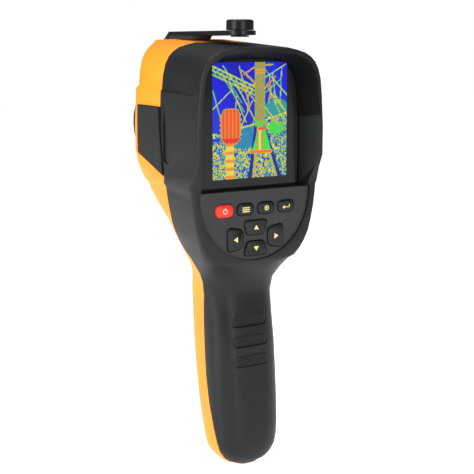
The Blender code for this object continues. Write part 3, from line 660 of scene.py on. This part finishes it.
# Sub-assemblies ---------------------------------------------------------------------------------------
@dataclass
class Housing:
    """The dark rear shell, the orange front shell, and what is let into them."""

    pad_heights: tuple[float, ...] = (79.0, 68.6, 58.2)
    pad_half: Point2 = (9.6, 2.7)
    pad_corner: float = 1.4
    pad_thick: float = 0.45
    pad_sunk: float = 0.15
    pad_ease: float = 0.02
    pad_ribs: int = 4
    rib_below: float = 1.8
    rib_pitch: float = 1.2
    rib_length: float = 16.0
    rib_radius: float = 0.22
    recess_half: Point2 = (9.9, 3.4)
    recess_deepest: float = 20.0
    # the box and funnel that bound the hood faces given the painted shade
    hood_low: Point3 = (-34.0, 0.2, 149.0)
    hood_high: Point3 = (34.0, 14.6, 216.4)
    funnel_half: float = 33.2
    funnel_taper: float = 0.28
    rim_facing: float = -0.9
    # where the painted shadow bead along the belt's top step runs
    belt_depths: Point2 = (7.0, 38.5)
    belt_top: float = 196.0
    belt_band: float = 2.2
    belt_wall: float = 34.0
    belt_sample: int = 4
    belt_steps: int = 12
    shadow_line_rise: float = 0.8
    shadow_line_radius: float = 0.35

    def build(self) -> None:
        """Make every piece of the housing."""
        self.paint_hood_shade(refined("rear_housing", "satin_dark_plastic", sharp=42.0))
        refined("front_housing", "satin_orange_plastic", sharp=42.0)
        refined("right_side_panel", "soft_panel_rubber", bevel=0.35)
        refined("port_cover", "soft_panel_rubber", bevel=0.35, sharp=50.0)
        for side in (-1, 1):
            self.painted_belt_shadow(side)
        for k, height in enumerate(self.pad_heights):
            self.grip_pad(k, height)

    def painted_belt_shadow(self, side: int) -> None:
        """Painted shadow: a near-black bead along the top edge of the raised belt, from the rim to the
        orange shell, in place of the step's shadow.

        Args:
            side: -1 for the left, 1 for the right.
        """
        low, high = self.belt_depths
        wall = [v.co for v in frame["nodes"]["rear_housing"].data.vertices
                if abs(v.co.z / MM + ORIGIN_Z - self.belt_top) < self.belt_band
                and v.co.x * side > self.belt_wall * MM]
        path = []
        for i in range(self.belt_steps + 1):
            y = (low + (high - low) * i / self.belt_steps - ORIGIN_Y) * MM
            nearest = sorted(wall, key=lambda p: abs(p.y - y))[:self.belt_sample]
            out = sum(abs(p.x) for p in nearest) / len(nearest)
            rise = self.shadow_line_rise * min(1.0, i / self.belt_steps * 2)
            path.append(Vector((side * out, y, (self.belt_top + rise - ORIGIN_Z) * MM)))
        name = "left" if side < 0 else "right"
        # a near-black bead that paints the step's shadow
        settle(tube(f"painted_belt_shadow_{name}", path, self.shadow_line_radius), "painted_shade_black", BODY)

    def paint_hood_shade(self, shell: bpy.types.Object) -> None:
        """Paint shade into the funnel in front of the screen: its inner faces get a near-black matt
        material that stands in for the shadow there.

        Args:
            shell: the finished rear shell.
        """
        # painted shade: a near-black second material for the hood's inner faces
        shell.data.materials.append(Store.get("painted_shade_black"))
        low, high = world(*self.hood_low), world(*self.hood_high)
        for polygon in shell.data.polygons:
            middle = polygon.center
            if all(low[i] < middle[i] < high[i] for i in range(3)) and middle.x * polygon.normal.x <= 0:
                half = self.funnel_half - self.funnel_taper * (middle.y / MM + ORIGIN_Y)
                if abs(middle.x) < half * MM and polygon.normal.y > self.rim_facing:
                    polygon.material_index = 1

    def grip_pad(self, k: int, height: float) -> None:
        """A rubber inlay with ribs in one of the handle's recesses.

        Args:
            k: which one, from the top.
            height: its middle.
        """
        floor = self.floor_depth(height)
        outline = rounded(*self.pad_half, self.pad_corner)
        pad = prism(outline, floor - self.pad_thick, floor + self.pad_sunk, (0.0, height), self.pad_ease)
        settle(from_bmesh(f"grip_pad_{k + 1}", pad), "soft_panel_rubber", BODY)
        start = world(0, floor - self.pad_thick, height - self.rib_below)
        RowOfBars(f"grip_pad_ribs_{k + 1}", self.pad_ribs, start, Vector((0, 0, self.rib_pitch * MM)),
                  self.rib_length, self.rib_radius, "soft_panel_rubber").build(BODY)

    def floor_depth(self, height: float) -> float:
        """How far behind the rim plane a recess's flat floor lies, read from the CAD shell."""
        half_x, half_z = self.recess_half
        near = [v.co.y for v in frame["nodes"]["rear_housing"].data.vertices
                if abs(v.co.z / MM + ORIGIN_Z - height) < half_z and abs(v.co.x) < half_x * MM
                and v.co.y / MM + ORIGIN_Y < self.recess_deepest]
        return max(near) / MM + ORIGIN_Y


@dataclass
class Display:
    """The black window and the lit thermal picture on it."""

    half: Point2 = (21.6, 28.8)
    middle: float = 182.6
    proud: float = 0.12
    cells: tuple[int, int] = (108, 144)

    def build(self) -> None:
        """Make the window and the picture."""
        refined("screen_window", "black_window", bevel=0.2)
        self.picture()

    def heat_map(self) -> np.ndarray:
        """The scene that the camera is looking at: plant in an electrical yard.

        Returns:
            Heat from 0 to 1 for each grid point, row by row from the bottom left.
        """
        columns, rows = self.cells
        u, v = np.meshgrid(np.linspace(0, 1, columns + 1), np.linspace(0, 1, rows + 1))
        seeded = np.random.RandomState(11)
        heat = 0.11 + 0.03 * np.sin(7 * u + 3 * v)

        def put(mask: np.ndarray, value: Any) -> None:
            """Lay a value over part of the map."""
            heat[mask] = value[mask] if isinstance(value, np.ndarray) else value

        def stroke(a: Point2, b: Point2, width: float, value: float) -> None:
            """A straight wire or beam between two points."""
            du, dv = b[0] - a[0], b[1] - a[1]
            t = np.clip(((u - a[0]) * du + (v - a[1]) * dv) / (du * du + dv * dv), 0, 1)
            far = np.hypot(u - a[0] - t * du, (v - a[1] - t * dv) * 1.33)
            put(far < width, value)

        clutter = seeded.rand(rows + 1, columns + 1)
        clutter = (clutter + np.roll(clutter, 1, 0) + np.roll(clutter, 1, 1)) / 3
        put((v < 0.33) & (clutter > 0.46), 0.16 + 0.86 * clutter)
        put((v > 0.36) & (v < 0.40) & (u < 0.55) & (clutter > 0.45), 0.66)
        put((u > 0.70) & (v < 0.62) & (clutter > 0.46), 0.28 + 0.55 * clutter)
        put(((u - 0.40) / 0.30) ** 2 + ((v - 0.36) / 0.10) ** 2 < 1, 0.24 + 0.10 * clutter)
        put(((u - 0.86) / 0.17) ** 2 + ((v - 0.60) / 0.08) ** 2 < 1, 0.33)
        put(((u - 0.85) / 0.10) ** 2 + ((v - 0.43) / 0.06) ** 2 < 1, 0.46)
        for _ in range(34):
            a = (seeded.rand(), 0.66 + 0.34 * seeded.rand())
            b = (a[0] + 0.7 * (seeded.rand() - 0.5), a[1] - 0.30 * seeded.rand() - 0.05)
            stroke(a, b, 0.006, 0.55 + 0.35 * seeded.rand())
        for rise in (0.0, 0.035, 0.07):
            stroke((0.0, 0.90 + rise), (0.56, 0.72 + rise), 0.009, 0.62 + rise)
        for k in range(9):
            stroke((0.06 * k, 0.97 - 0.019 * k), (0.06 * k + 0.05, 0.89 - 0.019 * k), 0.007, 0.60)
        stroke((0.42, 0.90), (0.56, 0.96), 0.008, 0.86)
        stroke((0.56, 0.96), (0.80, 0.98), 0.008, 0.80)
        stroke((0.72, 0.50), (1.0, 0.56), 0.008, 0.66)
        stroke((0.38, 0.44), (0.58, 0.47), 0.010, 0.64)
        put((abs(u - 0.63) < 0.068) & (v > 0.47), 0.575 + 0.05 * (clutter - 0.5))
        put((abs(u - 0.63) < 0.068) & (abs(v - 0.92) < 0.012), 0.80)
        for side, foot in ((-1, 0.50), (1, 0.90)):
            stroke((0.63 + side * 0.045, 0.44), (foot, 0.0), 0.030, 0.02)
            stroke((0.63 + side * 0.02, 0.44), (foot - side * 0.045, 0.0), 0.020, 0.60)
        spread = 0.045 + (0.44 - v) * 0.42
        inside = (abs(u - 0.655) < spread) & (v < 0.44) & (v > 0.235)
        put(inside, 0.47 + 0.20 * np.exp(-((u - 0.63) / 0.035) ** 2))
        put(inside & (v > 0.41), 0.88)
        put((abs(u - 0.655) < 0.15) & (abs(v - 0.225) < 0.016), 0.84)
        put((abs(u - 0.63) < 0.07) & (abs(v - 0.475) < 0.025), 0.50)
        put((abs(u - 0.225) < 0.058) & (v < 0.31), 0.72 + 0.08 * np.sin(v * 90))
        bulge = 0.135 + 0.012 * np.sin(v * 150)
        body = (np.abs((u - 0.24) / bulge) ** 3 + np.abs((v - 0.455) / 0.155) ** 4) < 1
        put(body, 0.85 + 0.05 * np.cos((u - 0.24) * 130))
        put(body & (abs(v - 0.335) < 0.018), 0.97)
        return np.clip(heat, 0, 1).ravel()

    def picture(self) -> None:
        """The lit area, a thin sheet just proud of the window."""
        columns, rows = self.cells
        front = maker_box("screen_window")[0].y - self.proud
        verts = [world((2 * i / columns - 1) * self.half[0], front,
                       self.middle + (2 * j / rows - 1) * self.half[1])
                 for j in range(rows + 1) for i in range(columns + 1)]
        wide = columns + 1
        faces = [(j * wide + i, j * wide + i + 1, (j + 1) * wide + i + 1, (j + 1) * wide + i)
                 for j in range(rows) for i in range(columns)]
        data = bpy.data.meshes.new("thermal_picture")
        data.from_pydata(verts, [], faces)
        heat = data.attributes.new(WARMTH, "FLOAT", "POINT")
        heat.data.foreach_set("value", self.heat_map().astype(np.float32))
        settle(in_scene("thermal_picture", data), "thermal_picture", BODY)


@dataclass
class Keypad:
    """The faceplate, its eight keys and their symbols."""

    glyph_proud: float = 0.12
    glyph_sunk: float = 0.1
    dot_sides: int = 16
    ring_steps: int = 24
    arrows: dict[str, float] = field(default_factory=lambda: {
        "up": 90.0, "left": 180.0, "down": 270.0, "right": 0.0})

    def build(self) -> None:
        """Make the plate, the keys and the marks."""
        refined("keypad_faceplate", "keypad_plastic", bevel=0.25)
        refined("power_button", "red_key_rubber", bevel=0.2)
        for key in ("menu", "select", "enter", *self.arrows):
            refined(f"{key}_button", "key_rubber", bevel=0.2)
        for key, heading in self.arrows.items():
            self.mark(f"{key}_arrow", f"{key}_button", [self.triangle(heading)], "pale_ink")
        self.mark("power_symbol", "power_button", self.power_symbol(), "light_ink")
        self.mark("menu_symbol", "menu_button",
                  [self.bar(0.0, dz, 2.1, 0.24) for dz in (-1.0, 0.0, 1.0)], "pale_ink")
        self.mark("select_symbol", "select_button", self.ring(1.3, 0.85) + [self.disc(0.45)], "pale_ink")
        self.mark("enter_symbol", "enter_button",
                  [self.bar(0.1, -0.45, 1.7, 0.22), self.bar(1.62, 0.25, 0.22, 0.7),
                   [(-2.5, -0.45), (-1.2, 0.55), (-1.2, -1.45)]], "pale_ink")

    @staticmethod
    def triangle(heading: float) -> list[Point2]:
        """An arrow head pointing along heading, in degrees from +X."""
        turn = math.radians(heading)
        shape = [(1.35, 0.0), (-0.95, 1.45), (-0.95, -1.45)]
        return [(u * math.cos(turn) - v * math.sin(turn), u * math.sin(turn) + v * math.cos(turn))
                for u, v in shape]

    @staticmethod
    def bar(u: float, v: float, half_u: float, half_v: float) -> list[Point2]:
        """A small rectangle about (u, v)."""
        return [(u - half_u, v - half_v), (u + half_u, v - half_v), (u + half_u, v + half_v),
                (u - half_u, v + half_v)]

    def disc(self, radius: float) -> list[Point2]:
        """A small round dot."""
        turns = [2 * math.pi * i / self.dot_sides for i in range(self.dot_sides)]
        return [(radius * math.cos(turn), radius * math.sin(turn)) for turn in turns]

    def ring(self, outer: float, inner: float, start: float = 0.0,
             sweep: float = 360.0) -> list[list[Point2]]:
        """A ring or an open arc, as a run of short quads.

        Args:
            outer: outer radius.
            inner: inner radius.
            start: first angle, in degrees.
            sweep: how far it goes round.

        Returns:
            The quads' outlines.
        """
        angles = [math.radians(start + sweep * i / self.ring_steps) for i in range(self.ring_steps + 1)]
        return [[(inner * math.cos(a), inner * math.sin(a)), (outer * math.cos(a), outer * math.sin(a)),
                 (outer * math.cos(b), outer * math.sin(b)), (inner * math.cos(b), inner * math.sin(b))]
                for a, b in zip(angles, angles[1:])]

    def power_symbol(self) -> list[list[Point2]]:
        """The usual broken ring with a stroke at its top."""
        return self.ring(1.35, 1.0, 125.0, 290.0) + [self.bar(0.0, 0.95, 0.18, 0.75)]

    def mark(self, name: str, node: str, outlines: Iterable[list[Point2]], finish: str) -> None:
        """Raise a symbol on a key.

        Args:
            name: the piece's name.
            node: the key's CAD node.
            outlines: the symbol's parts about the key's middle.
            finish: name of the finish.
        """
        low, high = maker_box(node)
        centre = ((low.x + high.x) / 2, (low.z + high.z) / 2)
        whole = bmesh.new()
        for outline in outlines:
            part = prism(outline, low.y - self.glyph_proud, low.y + self.glyph_sunk, centre)
            data = bpy.data.meshes.new("part")
            part.to_mesh(data)
            part.free()
            whole.from_mesh(data)
            bpy.data.meshes.remove(data)
        bmesh.ops.remove_doubles(whole, verts=whole.verts, dist=MERGE)

        def deep(edge: bmesh.types.BMEdge) -> bool:
            """Whether an edge runs along the key's depth."""
            return abs(edge.verts[0].co.y - edge.verts[1].co.y) > DEPTH_STEP

        inner = [f for f in whole.faces if any(deep(e) for e in f.edges)
                 and all(len(e.link_faces) > 2 for e in f.edges if deep(e))]
        if inner:
            bmesh.ops.delete(whole, geom=inner, context="FACES_ONLY")
        settle(from_bmesh(name, whole), finish, frame["nodes"][node]["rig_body"])


@dataclass
class LensEnd:
    """The round front end with the germanium lens and the small daylight camera."""

    def build(self) -> None:
        """Make every piece of the lens end."""
        refined("front_bezel", "satin_black_plastic", bevel=0.25)
        refined("ir_lens_barrel", "anodised_black", bevel=0.15)
        refined("ir_lens", "germanium", sharp=50.0)
        refined("lens_retaining_ring", "anodised_black", bevel=0.1)
        refined("camera_window", "black_window", bevel=0.1)


@dataclass
class FlipCover:
    """The cover that swings over the lens, its plug and its hinge."""

    rim_inset: float = 1.0
    rim_sunk: float = 0.1
    rim_radius: float = 0.3
    rim_points: int = 40

    def build(self) -> None:
        """Make the arm, the plug and the pin."""
        refined("lens_cover", "satin_black_plastic", bevel=0.35)
        refined("lens_cover_plug", "satin_black_plastic", bevel=0.2)
        refined("cover_hinge_pin", "plain_steel", bevel=0.1)
        self.rim()

    def rim(self) -> None:
        """A raised bead round the plug's top edge."""
        low, high = maker_box("lens_cover_plug")
        x, y = (low.x + high.x) / 2, (low.y + high.y) / 2
        radius = (high.x - low.x) / 2 - self.rim_inset
        turns = [2 * math.pi * i / self.rim_points for i in range(self.rim_points)]
        path = [world(x + radius * math.cos(turn), y + radius * math.sin(turn), high.z - self.rim_sunk)
                for turn in turns]
        settle(tube("plug_rim", path, self.rim_radius, closed=True), "satin_black_plastic",
               frame["nodes"]["lens_cover_plug"]["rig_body"])


@dataclass
class Handle:
    """The battery compartment and the trigger."""

    door_half: float = 9.0
    door_foot: float = 14.0
    door_ribs_up: float = 3.0
    door_rib_count: int = 5
    door_rib_pitch: float = 1.8
    door_rib_length: float = 15.0
    door_rib_radius: float = 0.35
    trigger_start: Point3 = (0.0, 48.6, 106.0)
    trigger_step: Point3 = (0.0, -0.22, 1.5)
    trigger_rib_count: int = 4
    trigger_rib_length: float = 10.0
    trigger_rib_radius: float = 0.3

    def build(self) -> None:
        """Make every piece of the handle."""
        refined("battery_door", "satin_black_plastic", bevel=0.3)
        refined("battery_cell", "cell_sleeve", bevel=0.2)
        refined("battery_spring", "plain_steel", sharp=60.0)
        refined("trigger", "satin_black_plastic", bevel=0.4)
        self.door_ribs()
        self.trigger_ribs()

    def door_ribs(self) -> None:
        """Finger ribs across the lower end of the battery door."""
        points = [v.co for v in frame["nodes"]["battery_door"].data.vertices
                  if abs(v.co.x) < self.door_half * MM]
        low = min(points, key=lambda p: p.z)
        near = [p for p in points if p.z < low.z + self.door_foot * MM]
        front = {round(p.z, 4): max(q.y for q in near if abs(q.z - p.z) < MM) for p in near}
        heights = sorted(front)
        first, last = heights[0], heights[-1]
        lean = (front[last] - front[first]) / max(last - first, MM)
        up, pitch = self.door_ribs_up, self.door_rib_pitch
        start = Vector((0.0, front[first] + lean * up * MM, first + up * MM))
        RowOfBars("battery_door_ribs", self.door_rib_count, start,
                  Vector((0, lean * pitch * MM, pitch * MM)), self.door_rib_length,
                  self.door_rib_radius, "satin_black_plastic").build("battery_door")

    def trigger_ribs(self) -> None:
        """Ribs on the face that the finger pulls."""
        step = Vector([length * MM for length in self.trigger_step])
        RowOfBars("trigger_ribs", self.trigger_rib_count, world(*self.trigger_start), step,
                  self.trigger_rib_length, self.trigger_rib_radius,
                  "satin_black_plastic").build("trigger")


@dataclass
class Internals:
    """What sits out of sight inside the housings."""

    finishes: dict[str, tuple[str, ...]] = field(default_factory=lambda: {
        "green_board": ("keypad_board", "main_board", "sensor_board", "port_board", "trigger_board"),
        "plain_steel": ("lcd_module", "usb_socket", "card_socket", "battery_contact", "trigger_pin",
                        *(f"housing_screw_{k}" for k in range(1, 6)),
                        *(f"board_screw_{k}" for k in range(1, 5))),
        "gold_plate": ("ir_sensor_module",),
        "satin_black_plastic": ("camera_module", "memory_card", "battery_holder", "trigger_switch"),
    })

    def build(self) -> None:
        """Dress each hidden CAD node where it stands."""
        for finish, nodes in self.finishes.items():
            for node in nodes:
                for slot in frame["nodes"][node].material_slots:
                    slot.material = Store.get(finish)
                log.info("%s dressed with %s", node, finish)


# Studio -------------------------------------------------------------------------------------------------
@dataclass(frozen=True)
class SoftBox:
    """A rectangular lamp that looks at a point."""

    name: str
    place: Point3
    target: Point3
    size: Point2
    power: float

    def build(self) -> None:
        """Hang the lamp."""
        lamp = bpy.data.lights.new(self.name, "AREA")
        lamp.shape = "RECTANGLE"
        lamp.size, lamp.size_y = self.size
        lamp.energy = self.power
        holder = in_scene(self.name, lamp)
        holder.location = self.place
        aim = Vector(self.target) - Vector(self.place)
        holder.rotation_euler = aim.to_track_quat("-Z", "Y").to_euler()


@dataclass
class Studio:
    """A pale floor, soft light and the camera."""

    eye: Point3 = (-0.2541, -0.4428, 0.1598)
    heading: float = 30.0
    dip: float = 11.0
    lens: float = 75.1
    clip: float = 0.01
    floor_gap: float = 0.0003
    floor_half: float = 3.0
    floor_glow: float = 0.92
    boxes: tuple[SoftBox, ...] = (
        SoftBox("key_left", (-0.80, -0.12, 0.35), (0.0, 0.0, 0.03), (0.26, 0.9), 6.8),
        SoftBox("rear_strip", (-0.05, -0.95, 0.30), (0.0, 0.0, 0.02), (0.16, 0.8), 4.5),
        SoftBox("overhead", (-0.1, 0.1, 0.9), (0.0, 0.0, 0.1), (0.7, 0.7), 5.0),
    )

    def build(self) -> None:
        """Set up the room."""
        self.world()
        self.floor()
        for box in self.boxes:
            box.build()
        self.camera()
        bpy.context.scene.view_settings.view_transform = "Standard"

    @staticmethod
    def world() -> None:
        """An even white surround."""
        surround = bpy.data.worlds.new("surround")
        bpy.context.scene.world = surround
        surround.use_nodes = True
        tree = surround.node_tree
        sky = tree.nodes["Background"]
        sky.inputs["Color"].default_value = (1.0, 1.0, 1.0, 1.0)
        rays = tree.nodes.new("ShaderNodeLightPath")
        level = tree.nodes.new("ShaderNodeMapRange")
        level.inputs["To Min"].default_value = ROOM_LIGHT
        tree.links.new(rays.outputs["Is Camera Ray"], level.inputs["Value"])
        tree.links.new(level.outputs["Result"], sky.inputs["Strength"])

    def floor(self) -> None:
        """A pale sheet just under the handle."""
        low = CAD_BOX[0].z - self.floor_gap
        half = self.floor_half
        data = bpy.data.meshes.new("studio_floor")
        corners = [(-half, -half, low), (half, -half, low), (half, half, low), (-half, half, low)]
        data.from_pydata(corners, [], [(0, 1, 2, 3)])
        g = Graph("pale_floor")
        paper = g.clamped(g.noise(40.0, 2.0), 0.3, 0.7)
        white = g.mixed(paper, (0.93, 0.93, 0.93), (0.95, 0.95, 0.95))
        data.materials.append(g.finish({"Base Color": white, "Emission Color": white,
                                        "Emission Strength": self.floor_glow,
                                        "Roughness": paper * 0.03 + 0.30}))
        in_scene("studio_floor", data)

    def camera(self) -> None:
        """The camera, left of and a little above the instrument."""
        lens = bpy.data.cameras.new("camera")
        lens.lens = self.lens
        lens.clip_start = self.clip
        holder = in_scene("camera", lens)
        holder.location = self.eye
        a, d = math.radians(self.heading), math.radians(self.dip)
        forward = Vector((math.sin(a) * math.cos(d), math.cos(a) * math.cos(d), -math.sin(d)))
        holder.rotation_euler = forward.to_track_quat("-Z", "Y").to_euler()
        bpy.context.scene.camera = holder


def main() -> None:
    """Build every sub-assembly in order."""
    logging.basicConfig(level=logging.INFO, format="%(name)s: %(message)s")
    for part in (Housing(), Display(), Keypad(), LensEnd(), FlipCover(), Handle(), Internals(), Studio()):
        part.build()
        log.info("%s is done", type(part).__name__)


if __name__ == "__main__":
    main()
